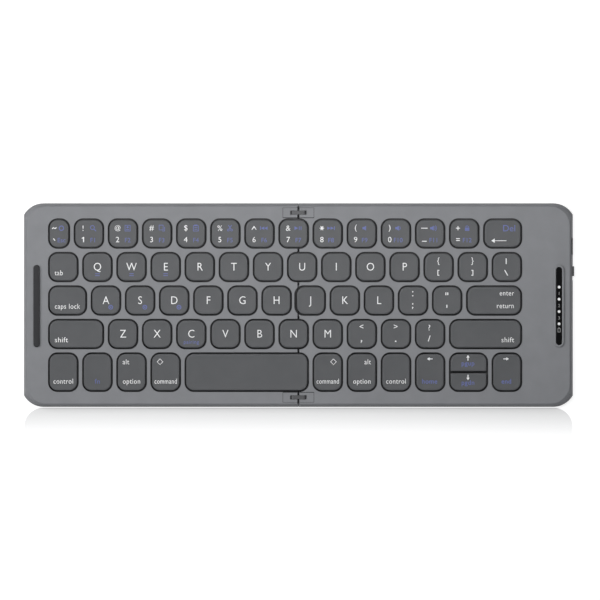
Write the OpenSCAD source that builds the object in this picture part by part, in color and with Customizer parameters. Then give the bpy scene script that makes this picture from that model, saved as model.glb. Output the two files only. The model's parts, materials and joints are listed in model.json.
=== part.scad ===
// Folding keyboard with two halves on double-pin hinge links, lying open with its keys up.
// Millimetres. +X is right, +Y is rear, +Z is up. x = 0 is the fold line, z = 0 the surface it lies on.

/* [Key field] */
// Distance between key centres along a row
key_pitch_x = 18; // [17.5:0.1:18.5]
// Distance between rows
key_pitch_y = 17.67; // [17.3:0.01:18]
// Width of the bar between two wells of a row
web_x = 1.8; // [1.4:0.1:2.2]
// Width of the bar between two rows of wells
web_y = 1.57; // [1.3:0.01:2]
// Depth of the taller wells of the front row
front_well_d = 20.95; // [20:0.05:22]
// Corner radius of a well
well_r = 5; // [3.6:0.1:5.5]
// Gap between a cap and its well
key_gap = 0.9; // [0.7:0.05:1]
// Extra width of the gap where a cap swings past the other half's wall
fold_gap_extra = 0.6; // [0.5:0.05:0.8]
// Gap between the two half-height arrow keys
arrow_gap = 1; // [0.8:0.1:1.4]
// Position of the fold line, in key pitches from the left end of the key field
fold_at = 7.389; // [7.38:0.001:7.395]

/* [Key caps] */
// How far a cap stands above the deck
cap_proud = 1; // [0.8:0.05:1.1]
// Height of a cap from its lower rim to its top
cap_h = 2.4; // [2.2:0.1:2.6]
// Thickness of a cap's top
cap_top_t = 1.25; // [1.2:0.05:1.4]
// Thickness of a cap's skirt
cap_skirt_t = 1; // [0.8:0.05:1.2]

/* [Case] */
// Height of the deck above the surface
deck_z = 7; // [6.8:0.1:7.4]
// Height of the split between the top case and the bottom case
split_z = 3.5; // [3.4:0.05:3.6]
// Height of the bottom case's underside
base_z = 0.6; // [0.5:0.05:0.8]
// Thickness of the bottom case's floor
floor_t = 1.2; // [1:0.05:1.3]
// Thickness of the deck over the hollow right margin
deck_t = 1.4; // [1.2:0.05:1.5]
// Plain strip between the left end of the case and the key field
left_margin = 11.9; // [11:0.1:13]
// Plain strip between the rear of the case and the rear wells
rear_margin = 8; // [7.8:0.05:8.6]
// Plain strip between the front wells and the front of the case
front_margin = 7.9; // [7.8:0.05:8.6]
// Corner radius of the case seen from above
corner_r = 12; // [10:0.5:13]
// How far the flat ends of the case cut into its corner rounding
end_cut = 1.6; // [1:0.1:2]
// Width of the steep outer slope of the case's edge
slope_w = 1; // [0.6:0.1:1.4]
// Width and height of the chamfer between the slope and the deck
chamfer = 0.8; // [0.5:0.1:1]
// Width of the rounding under the case's edge
under_w = 1.6; // [1:0.1:2]
// Thickness of the side wall round the hollow right margin
wall_t = 1.8; // [1.6:0.1:2]

/* [Hinge] */
// Distance between the two parallel pins of a link
pin_span = 5.4; // [5.2:0.1:6]
// Depth of the pins' axes below the deck
axis_depth = 1.5; // [1.4:0.05:1.6]
// Diameter of a hinge pin
pin_d = 1.2; // [1:0.05:1.3]
// Radial clearance of a link on its pins
pin_clearance = 0.05; // [0.03:0.01:0.08]
// Diameter of a link's rounded ends
link_d = 2.6; // [2.4:0.05:2.8]
// Thickness of a link along its pins
link_t = 1.9; // [1.6:0.05:2]
// Gap between a link and its slot
link_gap = 0.15; // [0.1:0.01:0.2]
// Gap between the two rounded edges that roll past each other
roll_gap = 0.1; // [0.08:0.01:0.15]
// Half of the gap between the halves' upright faces
face_gap = 0.15; // [0.12:0.01:0.2]
// How far a bracket reaches from the fold line
bracket_w = 8.1; // [7.8:0.1:9]
// Size of a bracket along its pin
bracket_d = 5; // [4.8:0.05:5.2]
// Gap between a bracket and the top case round it
bracket_gap = 0.15; // [0.1:0.01:0.2]
// Distance of the rear hinge's middle from the rear of the case
hinge_inset_rear = 5; // [4.9:0.05:5.1]
// Distance of the front hinge's middle from the front of the case
hinge_inset_front = 5.05; // [5:0.05:5.1]

/* [Key mechanism] */
// Thickness of the steel plate under the keys
plate_t = 0.4; // [0.3:0.05:0.5]
// Thickness of the switch membrane
membrane_t = 0.2; // [0.15:0.05:0.3]
// Margin of the plate outside the wells
plate_margin = 0.25; // [0.1:0.05:0.4]
// Base radius of a rubber dome
dome_r = 2.8; // [2.2:0.1:2.9]
// Wall of a rubber dome
dome_wall = 0.5; // [0.4:0.05:0.7]
// Thickness of a scissor lever
lever_t = 0.6; // [0.5:0.05:0.7]
// Width of a scissor lever's bars
lever_bar = 0.9; // [0.7:0.05:1]
// Length of a scissor lever under a key of one pitch
lever_len = 10; // [9:0.1:10.4]
// Width of the larger lever under a key of one pitch
lever_w = 10.4; // [9.6:0.1:10.6]

/* [Left and right ends] */
// Distance from the end of the case to the middle of the spacer bar
bar_inset = 6.8; // [6.5:0.1:7.5]
// Distance from the end of the case to the middle of the window
window_inset = 7.4; // [7:0.1:7.6]
// Length of the spacer bar and of the window's ring
strip_len = 43.4; // [40:0.1:46]
// Width of the rubber spacer bar
bar_w = 3.3; // [3:0.1:3.5]
// Height of the spacer bar above the deck
bar_proud = 1.3; // [1.1:0.05:1.35]
// Width of the ring round the window
ring_w = 5.4; // [5:0.1:6]
// Height of the ring above the deck
ring_proud = 0.9; // [0.8:0.05:0.95]
// Width of the indicator window
window_w = 3.2; // [2.8:0.1:3.4]
// How far the window lies below the ring's top
window_drop = 0.1; // [0.05:0.05:0.3]
// Depth of the seats in the deck for the bar and the ring
strip_seat = 0.6; // [0.4:0.05:0.7]
// Distance between the indicator lamps
lamp_pitch = 6.45; // [6:0.05:6.8]
// Diameter of the light holes under the window
lamp_hole_d = 1.5; // [1.2:0.1:1.8]

/* [Power, charging and battery] */
// Length of the power switch's knob
knob_len = 5.2; // [5:0.1:5.6]
// Height of the knob
knob_h = 1.6; // [1.4:0.05:1.7]
// How far the knob stands out of the side wall
knob_proud = 0.7; // [0.5:0.05:0.9]
// Travel of the knob
knob_travel = 2; // [1.8:0.1:2.4]
// Distance of the knob's middle behind the middle of the case
knob_y = 17.9; // [17:0.1:18.5]
// Gap round the knob in its slot
knob_gap = 0.15; // [0.1:0.01:0.25]
// Width of the charging socket's shell
socket_w = 8.94; // [8.9:0.01:9]
// Height of the charging socket's shell
socket_h = 3.2; // [3.16:0.01:3.26]
// Depth of the charging socket
socket_d = 7.3; // [7:0.1:7.8]
// Distance from the rear end of the hollow right margin to the middle of the charging socket
socket_inset = 7.5; // [7:0.1:8]
// Thickness of the main board
board_t = 0.8; // [0.6:0.05:1]
// Width of the battery
battery_w = 19; // [15:0.5:19.5]
// Length of the battery
battery_len = 25; // [20:0.5:26]
// Thickness of the battery
battery_t = 3; // [2.5:0.1:3.4]

/* [Feet, screws and magnets] */
// Length of a rubber foot
foot_len = 46; // [30:1:60]
// Width of a rubber foot
foot_w = 5; // [4:0.1:6]
// Depth of a foot's seat in the bottom case
foot_seat = 0.4; // [0.2:0.05:0.5]
// Distance from the middle of a foot to the front or rear of the case
foot_inset = 13; // [11:0.5:16]
// Diameter of a screw's thread
screw_d = 1.6; // [1.4:0.05:1.8]
// Diameter of a screw's head
screw_head_d = 3; // [2.8:0.1:3.2]
// Height of a screw's head
screw_head_h = 0.8; // [0.6:0.05:0.9]
// Depth of the screws' thread above the split
screw_bite = 2; // [1.6:0.1:2.4]
// Length of a closing magnet
magnet_len = 6; // [5:0.1:6.4]
// Width of a closing magnet
magnet_w = 4; // [3:0.1:4.4]
// Thickness of a closing magnet
magnet_t = 2.2; // [1.8:0.1:2.4]

/* [Hidden] */
$fn = 48;
LEFT = -1;
RIGHT = 1;
eps = 0.01;

// Widths of the keys of each row, in pitches, from left to right; row 0 is the rear one.
row_units = [
    concat([0.75], ones(12), [1.25]),
    ones(14),
    concat([1.25], ones(11), [1.75]),
    concat([1.75], ones(10), [2.25]),
    [1, 1, 1, 1, 3.75, 1, 1, 1, 1, 1.25, 1]
];
// First key of each row that belongs to the right half, and the rows where that key crosses the fold.
first_right = [8, 7, 7, 7, 5];
FRONT_ROW = 4;
HOME_ROW = 2;
ARROW_PAIR = 9;
last_row = len(row_units) - 1;
field_units = total(row_units[1], len(row_units[1]));

field_left = -fold_at * key_pitch_x;
half_w = left_margin - field_left;
case_w = 2 * half_w;
field_right = field_left + field_units * key_pitch_x;
field_d = last_row * key_pitch_y + front_well_d;
case_d = rear_margin + field_d + front_margin;
field_rear = case_d / 2 - rear_margin;
field_front = field_rear - field_d;

axis_x = pin_span / 2;
axis_z = deck_z - axis_depth;
nose_r = axis_x - roll_gap;
hinge_ys = [case_d / 2 - hinge_inset_rear, -case_d / 2 + hinge_inset_front];
slot_w = link_t + 2 * link_gap;
slot_reach = axis_x + link_d / 2 + 2 * link_gap;
bracket_screw_x = (bracket_w + slot_reach) / 2;

floor_z = base_z + floor_t;
membrane_z = split_z - membrane_t;
plate_z = membrane_z - plate_t;
tongue_gap = 0.3;
plate_left = field_left - plate_margin;
plate_right = field_right + plate_margin;
plate_rear = field_rear + plate_margin;
plate_front = field_front - plate_margin;
fit = 0.1;

cap_top_z = deck_z + cap_proud;
cap_z = cap_top_z - cap_h;
cap_under_z = cap_top_z - cap_top_t;
cap_r = well_r - key_gap;
mech_gap = 0.08;
lever_play = 0.15;
lever_end_play = 0.5;
lever_side_play = 0.3;
dome_taper = 0.55;
dome_top_z = cap_under_z - mech_gap;

// The hollow under the plate, with ribs that carry it, stays clear of the solid ends at the fold.
hollow_edge = 1;
hollow_fold = 12;
rib_t = 1.2;
rib_ys = [for (row = [1 : last_row]) well_rear(row) + web_y / 2];
cable_w = 8;
cable_t = 0.2;
cable_y = well_rear(HOME_ROW) - well_d(HOME_ROW) / 2;
cable_z = plate_z - cable_t;
cable_lap = 4;
cable_left = -hollow_fold - cable_lap;

margin_wall = 1.2;
margin_play = 0.6;
margin_left = field_right + plate_margin + margin_wall;
margin_right = half_w - wall_t;
margin_end = 15.265;
margin_rear = case_d / 2 - margin_end;
margin_top = deck_z - deck_t;
end_play = 0.5;
board_drop = 0.5;
board_x = margin_left + margin_play;
board_right = margin_right - 1.3;
board_rear = margin_rear - end_play;
board_z = plate_z - board_drop;
board_top = board_z + board_t;
board_post_r = 1.4;
board_post_inset = 2.5;
lamp_size = 1.2;
lamp_h = 0.7;
lamp_ys = [for (i = [0 : 3]) (1.5 - i) * lamp_pitch];
// The board ends in front of the last lamp, then come the battery and the front end of the hollow.
board_edge = 1.225;
board_front = lamp_ys[3] - lamp_size / 2 - board_edge;
battery_gap = 1.5;
battery_x = margin_left + margin_play;
battery_front = board_front - battery_gap - battery_len;
margin_front = battery_front - end_play;
chip_size = 6;
chip_h = 0.9;

bar_x = half_w - bar_inset;
window_x = half_w - window_inset;
strip_y = -0.5;
seat_z = deck_z - strip_seat;
ring_top = deck_z + ring_proud;
window_top = ring_top - window_drop;

// The knob slides in a slot that the split line runs through.
knob_z = split_z + 0.2;
knob_root_x = half_w - wall_t + 0.3;
knob_flange_t = 0.6;
knob_flange_over = 1.3;
knob_flange_gap = 0.2;
knob_tail_w = 1.6;
knob_tail_h = 0.7;
knob_tail_len = 3.4;
knob_tail_x = knob_root_x - knob_tail_len;
switch_w = 4;
switch_len = 8.6;
switch_h = 1.5;
switch_inset = 1.2;
switch_x = board_right - switch_inset - switch_w;

socket_y = margin_rear - socket_inset;
socket_z = split_z + 0.1;
socket_wall = 0.3;
socket_back = 1.1;
socket_tongue_w = 6.7;
socket_tongue_t = 0.7;
socket_tongue_short = 1;
socket_gap = 0.18;
socket_front_x = half_w - 0.3;

foot_x = half_w / 2;
foot_shift = 30;
foot_xs = [foot_x - foot_shift, foot_x + foot_shift];
foot_ys = [case_d / 2 - foot_inset, -case_d / 2 + foot_inset];

screw_inset = 4.1;
screw_fold_x = 16;
screw_end_inset = 12.5;
screw_xs = [screw_fold_x, half_w / 2, half_w - screw_end_inset];
screw_ys = [case_d / 2 - screw_inset, -case_d / 2 + screw_inset];
screw_clearance = 0.1;
screw_sink = 0.1;
screw_top = split_z + screw_bite;
cross_w = 0.4;
cross_len = 1.7;
cross_depth = 0.45;
magnet_wall = 1;
magnet_off = magnet_wall + magnet_len / 2;
magnet_ys = [margin_front - magnet_off, margin_rear + magnet_off];
magnet_x = window_x;

function ones(n) = [for (i = [1 : n]) 1];
function total(v, n) = n <= 0 ? 0 : v[n - 1] + total(v, n - 1);
function last_key(row) = len(row_units[row]) - 1;
// Left edge and width of a key's cell, which is its well and half a web on each side.
function cell_x(row, i) = field_left + key_pitch_x * total(row_units[row], i);
function cell_w(row, i) = key_pitch_x * row_units[row][i];
function cell_mid(row, i) = cell_x(row, i) + cell_w(row, i) / 2;
function well_w(row, i) = cell_w(row, i) - web_x;
function well_d(row) = row == FRONT_ROW ? front_well_d : key_pitch_y - web_y;
function well_rear(row) = field_rear - row * key_pitch_y;
function well_mid_y(row) = well_rear(row) - well_d(row) / 2;
function cap_w(row, i) = well_w(row, i) - 2 * key_gap;
function cap_d(row) = well_d(row) - 2 * key_gap;
function on_side(row, i, side) = side == LEFT ? i < first_right[row] : i >= first_right[row];
function crosses(row, i) = cell_x(row, i) + web_x / 2 < 0 && cell_x(row, i) + cell_w(row, i) - web_x / 2 > 0;
// Only a cap that reaches well past the fold line has a tongue of its own half under it.
function has_tongue(row, i) = crosses(row, i) && row != HOME_ROW;
// Half-height arrow keys: the depth of one cap, and the middle of the rear one.
arrow_d = (cap_d(FRONT_ROW) - arrow_gap) / 2;
arrow_up_y = well_mid_y(FRONT_ROW) + (arrow_d + arrow_gap) / 2;
arrow_down_y = well_mid_y(FRONT_ROW) - (arrow_d + arrow_gap) / 2;

module rounded_rect(w, d, r) {
    square([w, d - 2 * r], center = true);
    square([w - 2 * r, d], center = true);
    for (x = [-1, 1], y = [-1, 1])
        translate([x * (w / 2 - r), y * (d / 2 - r)])
            circle(r = r);
}

module stadium(w, len) {
    square([w, len - w], center = true);
    for (y = [-1, 1])
        translate([0, y * (len - w) / 2])
            circle(d = w);
}

module column(z0, z1) {
    translate([0, 0, z0])
        linear_extrude(z1 - z0)
            children();
}

// A well, or a shape that follows it at a distance.
module well_shape(row, i, inset = 0) {
    extra = row == HOME_ROW && crosses(row, i) ? fold_gap_extra : 0;
    translate([cell_mid(row, i) - extra / 2, well_mid_y(row)])
        rounded_rect(well_w(row, i) + extra - 2 * inset, well_d(row) - 2 * inset, well_r - inset);
}

module wells(side) {
    for (row = [0 : last_row], i = [0 : last_key(row)])
        if (on_side(row, i, side) || crosses(row, i))
            well_shape(row, i);
}

// Where the other half's tongues lie, this half is cut through.
module notches(side) {
    for (row = [0 : last_row], i = [0 : last_key(row)])
        if (!on_side(row, i, side) && has_tongue(row, i))
            well_shape(row, i);
}

module tongues(side) {
    for (row = [0 : last_row], i = [0 : last_key(row)])
        if (on_side(row, i, side) && has_tongue(row, i))
            well_shape(row, i, tongue_gap);
}

// One half of the plan, up to its upright face at the fold.
module half_plan(side, w) {
    translate([side == LEFT ? -w : face_gap, -case_d / 2 - 1])
        square([w - face_gap, case_d + 2]);
}

// A half's plan with its tongues, less the notches for the other half's.
module fold_plan(side, left, right, front, rear) {
    difference() {
        union() {
            intersection() {
                translate([left, front])
                    square([right - left, rear - front]);
                half_plan(side, half_w + 1);
            }
            tongues(side);
        }
        notches(side);
    }
}

// Above the pins' level, the deck's edge at the fold is round about the half's own pin.
module rolling_edge(side) {
    translate([side * axis_x, 0, axis_z])
        rotate([90, 0, 0])
            difference() {
                translate([side == LEFT ? 0 : -axis_x, 0, -case_d / 2 - 1])
                    cube([axis_x, axis_depth + 1, case_d + 2]);
                cylinder(r = nose_r, h = case_d + 4, center = true, $fn = 96);
            }
}

module case_slab(z, inset, r, cut) {
    translate([0, 0, z])
        linear_extrude(eps)
            intersection() {
                rounded_rect(case_w - 2 * inset + 2 * cut, case_d - 2 * inset, r);
                square([case_w - 2 * inset, case_d], center = true);
            }
}

module top_outline() {
    hull() {
        case_slab(split_z, 0, corner_r, end_cut);
        case_slab(deck_z - chamfer, slope_w, corner_r - slope_w, end_cut / 2);
        case_slab(deck_z - eps, slope_w + chamfer, corner_r - slope_w - chamfer, 0);
    }
}

module bottom_outline() {
    hull() {
        case_slab(split_z - eps, 0, corner_r, end_cut);
        case_slab(floor_z, under_w / 5, corner_r, end_cut);
        case_slab(base_z, under_w, corner_r - under_w, 0);
    }
}

// The brackets' plan, drawn out by a gap except at the fold.
module bracket_plan(side, gap = 0) {
    for (y = hinge_ys)
        translate([side == LEFT ? -bracket_w - gap : face_gap, y - bracket_d / 2 - gap])
            square([bracket_w + gap - face_gap, bracket_d + 2 * gap]);
}

module at_case_screws(side) {
    for (x = screw_xs, y = screw_ys)
        translate([side * x, y])
            children();
}

module at_hinge_screws(side) {
    for (y = hinge_ys)
        translate([side * bracket_screw_x, y])
            children();
}

module at_magnets(side) {
    for (y = magnet_ys)
        translate([side * magnet_x, y])
            children();
}

module top_case(side) {
    difference() {
        top_outline();
        column(split_z - 1, deck_z + 1)
            translate([side == LEFT ? -face_gap : -half_w - 1, -case_d / 2 - 1])
                square([half_w + 1 + face_gap, case_d + 2]);
        rolling_edge(side);
        column(split_z - 1, deck_z + 1)
            wells(side);
        column(split_z - 1, deck_z + 1)
            bracket_plan(side, bracket_gap);
        at_case_screws(side)
            column(split_z - 1, screw_top)
                circle(d = screw_d);
        at_magnets(side)
            column(split_z - 1, split_z + magnet_t)
                square([magnet_w, magnet_len], center = true);
        children();
    }
}

module left_top_case() {
    color("#85868a")
        top_case(LEFT)
            translate([-bar_x, strip_y])
                column(seat_z, deck_z + 1)
                    stadium(bar_w, strip_len);
}

module right_top_case() {
    color("#85868a")
        top_case(RIGHT) {
            translate([window_x, strip_y])
                column(seat_z, deck_z + 1)
                    stadium(ring_w, strip_len);
            for (y = lamp_ys)
                translate([window_x, y])
                    column(margin_top - 1, seat_z + eps)
                        circle(d = lamp_hole_d);
            margin_hollow(split_z - 1, margin_top);
            knob_slot();
            socket_hole();
        }
}

module margin_hollow(z0, z1) {
    translate([margin_left, margin_front, z0])
        cube([margin_right - margin_left, margin_rear - margin_front, z1 - z0]);
}

module knob_slot() {
    translate([margin_right - 1, knob_y - knob_len / 2 - knob_travel - knob_gap, knob_z - knob_h / 2 - knob_gap])
        cube([wall_t + 2, knob_len + knob_travel + 2 * knob_gap, knob_h + 2 * knob_gap]);
}

// The charging socket's outline, standing in the side wall's plane.
module socket_shape(w, h, x0, x1) {
    translate([x0, socket_y, socket_z])
        rotate([90, 0, 90])
            linear_extrude(x1 - x0)
                rotate(90)
                    stadium(h, w);
}

module socket_hole() {
    socket_shape(socket_w + 2 * socket_gap, socket_h + 2 * socket_gap, margin_right - 1, half_w + 1);
}

module bottom_case(side) {
    inner = hollow_fold;
    x0 = side == LEFT ? plate_left + hollow_edge : inner;
    x1 = side == LEFT ? -inner : plate_right - hollow_edge;
    difference() {
        intersection() {
            bottom_outline();
            column(base_z - 1, split_z + 1)
                fold_plan(side, -half_w - 1, half_w + 1, -case_d / 2 - 1, case_d / 2 + 1);
        }
        column(plate_z, split_z + 1)
            fold_plan(side, plate_left - fit, plate_right + fit, plate_front - fit, plate_rear + fit);
        difference() {
            translate([x0, plate_front + hollow_edge, floor_z])
                cube([x1 - x0, plate_rear - plate_front - 2 * hollow_edge, split_z - floor_z]);
            for (y = rib_ys)
                translate([x0 - 1, y - rib_t / 2, floor_z - 1])
                    cube([x1 - x0 + 2, rib_t, plate_z - floor_z + 1]);
        }
        translate([side == LEFT ? cable_left : 0, cable_y - cable_w / 2 - fit, cable_z - fit])
            cube([side == LEFT ? -cable_left : plate_right, cable_w + 2 * fit, cable_t + 2 * fit]);
        at_case_screws(side)
            screw_clearance_hole();
        at_hinge_screws(side)
            screw_clearance_hole();
        for (x = foot_xs, y = foot_ys)
            translate([side * x, y])
                column(base_z - 1, base_z + foot_seat)
                    rotate(90)
                        stadium(foot_w, foot_len);
        children();
    }
}

module screw_clearance_hole() {
    column(base_z - 1, split_z + 1)
        circle(d = screw_d + 2 * screw_clearance);
    column(base_z - 1, base_z + screw_head_h)
        circle(d = screw_head_d + 2 * screw_clearance);
}

module left_bottom_case() {
    color("#55565a")
        bottom_case(LEFT);
}

module right_bottom_case() {
    color("#55565a") {
        bottom_case(RIGHT) {
            difference() {
                margin_hollow(floor_z, split_z + 1);
                for (x = [board_x + board_post_inset, board_right - board_post_inset])
                    for (y = [board_front + board_post_inset, board_rear - board_post_inset])
                        if (x < socket_front_x - socket_d - board_post_r || y < socket_y - socket_w)
                            translate([x, y])
                                column(floor_z - 1, board_z)
                                    circle(r = board_post_r);
            }
            translate([plate_right - 1, cable_y - cable_w / 2 - fit, cable_z - fit])
                cube([margin_left - plate_right + 2, cable_w + 2 * fit, split_z]);
            knob_slot();
            socket_hole();
        }
    }
}

module feet(side) {
    color("#2b2b2d")
        for (x = foot_xs, y = foot_ys)
            translate([side * x, y])
                column(0, base_z + foot_seat)
                    rotate(90)
                        stadium(foot_w, foot_len);
}

module spacer_bar() {
    color("#49494b")
        translate([-bar_x, strip_y])
            column(seat_z, deck_z + bar_proud)
                stadium(bar_w, strip_len);
}

module window_ring() {
    color("#5b5b5e")
        translate([window_x, strip_y])
            column(seat_z, ring_top)
                difference() {
                    stadium(ring_w, strip_len);
                    stadium(window_w, strip_len - ring_w + window_w);
                }
}

module indicator_window() {
    color("#141416")
        translate([window_x, strip_y])
            column(seat_z, window_top)
                stadium(window_w, strip_len - ring_w + window_w);
}

module screw(top) {
    difference() {
        union() {
            translate([0, 0, base_z + screw_head_h - eps])
                cylinder(d = screw_d, h = top - base_z - screw_head_h + eps);
            translate([0, 0, base_z + screw_sink])
                cylinder(d = screw_head_d, h = screw_head_h - screw_sink);
        }
        for (a = [0, 90])
            rotate(a)
                translate([-cross_len / 2, -cross_w / 2, base_z])
                    cube([cross_len, cross_w, screw_sink + cross_depth]);
    }
}

module screws(side) {
    color("#3c3c3f") {
        at_case_screws(side)
            screw(screw_top);
        at_hinge_screws(side)
            screw(screw_top);
    }
}

module hinge_brackets(side) {
    color("#7b7c80")
        difference() {
            column(split_z, deck_z)
                bracket_plan(side);
            rolling_edge(side);
            for (y = hinge_ys) {
                translate([side == LEFT ? -slot_reach : 0, y - slot_w / 2, axis_z - link_d / 2 - 2 * link_gap])
                    cube([slot_reach, slot_w, deck_z]);
                translate([side * axis_x, y, axis_z])
                    rotate([90, 0, 0])
                        cylinder(d = pin_d, h = bracket_d + 2, center = true);
            }
            at_hinge_screws(side)
                column(split_z - 1, screw_top)
                    circle(d = screw_d);
        }
}

module hinge_pins(side) {
    color("#b9babd")
        for (y = hinge_ys)
            translate([side * axis_x, y, axis_z])
                rotate([90, 0, 0])
                    cylinder(d = pin_d, h = bracket_d, center = true);
}

module hinge_link(y) {
    color("#3a3a3c")
        translate([0, y, axis_z])
            rotate([90, 0, 0])
                linear_extrude(link_t, center = true)
                    difference() {
                        rotate(90)
                            stadium(link_d, pin_span + link_d);
                        for (x = [-axis_x, axis_x])
                            translate([x, 0])
                                circle(d = pin_d + 2 * pin_clearance);
                    }
}

module support_plate(side) {
    color("#1f1f21")
        column(plate_z, membrane_z)
            fold_plan(side, plate_left, plate_right, plate_front, plate_rear);
}

module membrane(side) {
    color("#2a2a2c")
        column(membrane_z, split_z)
            fold_plan(side, plate_left, plate_right, plate_front, plate_rear);
}

// Where the mechanisms of a half's keys stand.
function mech_spots(side) = [
    for (row = [0 : last_row], i = [0 : last_key(row)])
        if (on_side(row, i, side))
            for (spot = key_spots(row, i)) spot
];
// [x, y, cap width, cap depth] of each cap in a well.
function key_spots(row, i) =
    row == FRONT_ROW && i == ARROW_PAIR
        ? [for (y = [arrow_up_y, arrow_down_y]) [cell_mid(row, i), y, cap_w(row, i), arrow_d]]
        : [[cell_mid(row, i), well_mid_y(row), cap_w(row, i), cap_d(row)]];
function lever_l(spot) = min(lever_len, spot[2] - 2 * (cap_skirt_t + lever_end_play));
function lever_outer_w(spot) = min(lever_w, spot[2] - cap_skirt_t, spot[3] - 2 * (cap_skirt_t + lever_side_play));
function lever_inner_w(spot) = lever_outer_w(spot) - 2 * (lever_bar + lever_play);
function spot_dome_r(spot) = min(
    dome_r,
    lever_inner_w(spot) / 2 - lever_bar - lever_play,
    lever_l(spot) / 2 - lever_bar - lever_end_play
);

module dome(r) {
    translate([0, 0, split_z])
        difference() {
            cylinder(r1 = r, r2 = r * dome_taper, h = dome_top_z - split_z);
            translate([0, 0, -1])
                cylinder(r = r * dome_taper - dome_wall / 2, h = dome_top_z - split_z + 1 - dome_wall);
        }
}

module domes(side) {
    color("#d8d8d4")
        for (spot = mech_spots(side))
            translate([spot[0], spot[1], 0])
                dome(spot_dome_r(spot));
}

// A flat loop, tilted to reach from the membrane to the cap.
module lever(l, w, turn) {
    room = cap_under_z - split_z - 2 * mech_gap - lever_t;
    rotate([0, turn * asin(room / l), 0])
        difference() {
            cube([l, w, lever_t], center = true);
            cube([l - 2 * lever_bar, w - 2 * lever_bar, lever_t + 1], center = true);
        }
}

module scissors(side) {
    color("#e6e6e2")
        for (spot = mech_spots(side))
            translate([spot[0], spot[1], (cap_under_z + split_z) / 2]) {
                lever(lever_l(spot), lever_outer_w(spot), 1);
                lever(lever_l(spot), lever_inner_w(spot), -1);
            }
}

module flex_cable() {
    color("#8a5a1c")
        translate([cable_left, cable_y - cable_w / 2, cable_z])
            cube([board_x - cable_left, cable_w, cable_t]);
}

module main_board() {
    color("#1f5a3c")
        difference() {
            union() {
                translate([board_x, board_front, board_z])
                    cube([board_right - board_x, board_rear - board_front, board_t]);
                for (y = lamp_ys)
                    translate([window_x, y])
                        column(board_top - eps, board_top + lamp_h)
                            square(lamp_size, center = true);
                translate([board_x + chip_size, board_front + 2 * chip_size])
                    column(board_top - eps, board_top + chip_h)
                        square(chip_size, center = true);
            }
            translate([socket_front_x - socket_d - fit, socket_y - socket_w / 2 - fit, board_z - 1])
                cube([socket_d + 4, socket_w + 2 * fit, board_t + 2]);
        }
}

module usb_c_socket() {
    color("#a8a9ad") {
        x0 = socket_front_x - socket_d;
        difference() {
            socket_shape(socket_w, socket_h, x0, socket_front_x);
            socket_shape(socket_w - 2 * socket_wall, socket_h - 2 * socket_wall, x0 + socket_back, socket_front_x + 1);
        }
        translate([x0 + socket_back - eps, socket_y - socket_tongue_w / 2, socket_z - socket_tongue_t / 2])
            cube([socket_d - socket_back - socket_tongue_short, socket_tongue_w, socket_tongue_t]);
    }
}

module battery() {
    color("#9aa0a8")
        translate([battery_x, battery_front, floor_z])
            cube([battery_w, battery_len, battery_t]);
}

module switch_body() {
    color("#222224")
        difference() {
            translate([switch_x, knob_y - knob_travel / 2 - switch_len / 2, board_top])
                cube([switch_w, switch_len, switch_h]);
            translate([
                knob_tail_x - fit,
                knob_y - knob_travel - knob_tail_w / 2 - knob_gap,
                knob_z - knob_tail_h / 2 - knob_gap
            ])
                cube([switch_w + 4, knob_travel + knob_tail_w + 2 * knob_gap, knob_tail_h + 2 * knob_gap]);
        }
}

module power_knob() {
    flange_x = margin_right - knob_flange_gap - knob_flange_t;
    color("#3c3c3e")
        translate([0, knob_y, knob_z]) {
            translate([flange_x, -knob_len / 2, -knob_h / 2])
                cube([half_w + knob_proud - flange_x, knob_len, knob_h]);
            translate([flange_x, -knob_len / 2 - knob_flange_over, -knob_h / 2])
                cube([knob_flange_t, knob_len + 2 * knob_flange_over, knob_h]);
            translate([knob_tail_x, -knob_tail_w / 2, -knob_tail_h / 2])
                cube([flange_x - knob_tail_x + eps, knob_tail_w, knob_tail_h]);
        }
}

module magnets(side) {
    color("#c9cacc")
        at_magnets(side)
            column(split_z, split_z + magnet_t)
                square([magnet_w, magnet_len], center = true);
}

// One cap, open underneath, over the given part of its well.
module cap(x, y, w, d, r, front, rear) {
    color("#5f6062")
        translate([x, y, 0])
            difference() {
                column(cap_z, cap_top_z)
                    intersection() {
                        rounded_rect(w, d, r);
                        translate([-w, front])
                            square([2 * w, rear - front]);
                    }
                column(cap_z - 1, cap_under_z)
                    intersection() {
                        rounded_rect(w - 2 * cap_skirt_t, d - 2 * cap_skirt_t, r - cap_skirt_t);
                        translate([-w, front + cap_skirt_t])
                            square([2 * w, rear - front - 2 * cap_skirt_t]);
                    }
            }
}

module keys(row, from, to) {
    for (i = [from : to])
        cap(cell_mid(row, i), well_mid_y(row), cap_w(row, i), cap_d(row), cap_r, -cap_d(row), cap_d(row));
}

// The rear or front half-height key of the shared well.
module arrow_key(side) {
    d = cap_d(FRONT_ROW);
    cap(
        cell_mid(FRONT_ROW, ARROW_PAIR), well_mid_y(FRONT_ROW), cap_w(FRONT_ROW, ARROW_PAIR), d, cap_r,
        side > 0 ? arrow_gap / 2 : -d / 2,
        side > 0 ? d / 2 : -arrow_gap / 2
    );
}

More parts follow.
